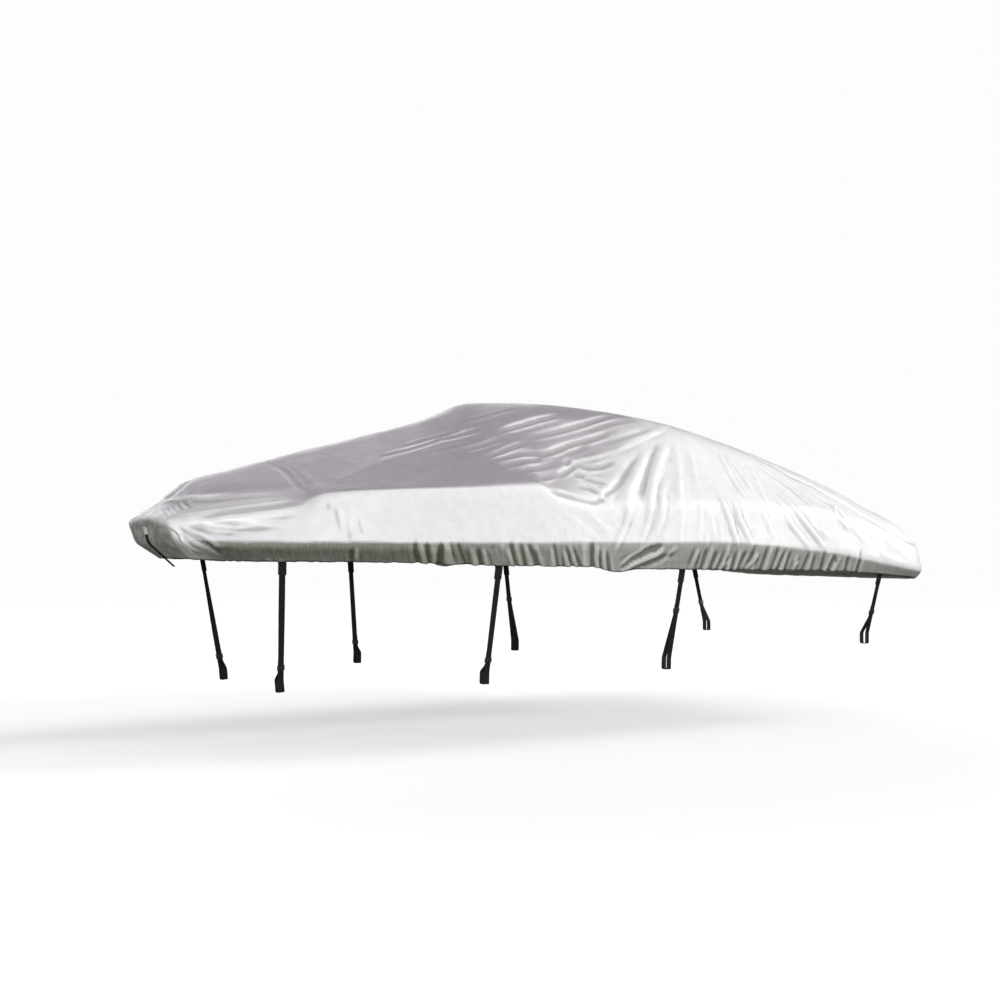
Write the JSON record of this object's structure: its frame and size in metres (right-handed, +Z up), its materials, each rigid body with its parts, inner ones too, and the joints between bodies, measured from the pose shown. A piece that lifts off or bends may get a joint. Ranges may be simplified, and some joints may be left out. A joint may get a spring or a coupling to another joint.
{
  "type": "boat cover",
  "caption": "Fitted cover for a small open boat: one hollow sheet of silver-grey cloth with a gathered elastic hem, webbing tabs and black tie-down straps with slide buckles.",
  "frame": {"origin": "underside of the top of the cloth on the centreline, where what the cover is fitted over carries it", "axes": "+X aft, +Z up, -Y to port"},
  "size_m": [5.5859, 2.3314, 1.857],
  "materials": {
    "silver_cloth": "coated polyester cloth, silver grey, satin",
    "black_webbing": "woven black webbing, matte",
    "black_plastic": "moulded black plastic"
  },
  "bodies": {
    "root": {"cover_cloth": "silver_cloth", "tab_port_1": "black_webbing", "tab_port_2": "black_webbing", "tab_port_3": "black_webbing", "tab_port_4": "black_webbing", "strap_port_1": "black_webbing", "strap_port_2": "black_webbing", "strap_port_3": "black_webbing", "strap_port_4": "black_webbing", "buckle_port_1": "black_plastic", "buckle_port_2": "black_plastic", "buckle_port_3": "black_plastic", "buckle_port_4": "black_plastic", "tab_starboard_1": "black_webbing", "tab_starboard_2": "black_webbing", "tab_starboard_3": "black_webbing", "tab_starboard_4": "black_webbing", "strap_starboard_1": "black_webbing", "strap_starboard_2": "black_webbing", "strap_starboard_3": "black_webbing", "strap_starboard_4": "black_webbing", "buckle_starboard_1": "black_plastic", "buckle_starboard_2": "black_plastic", "buckle_starboard_3": "black_plastic", "buckle_starboard_4": "black_plastic", "bow_tab": "silver_cloth", "bow_strap": "black_webbing"}
  },
  "joints": []
}
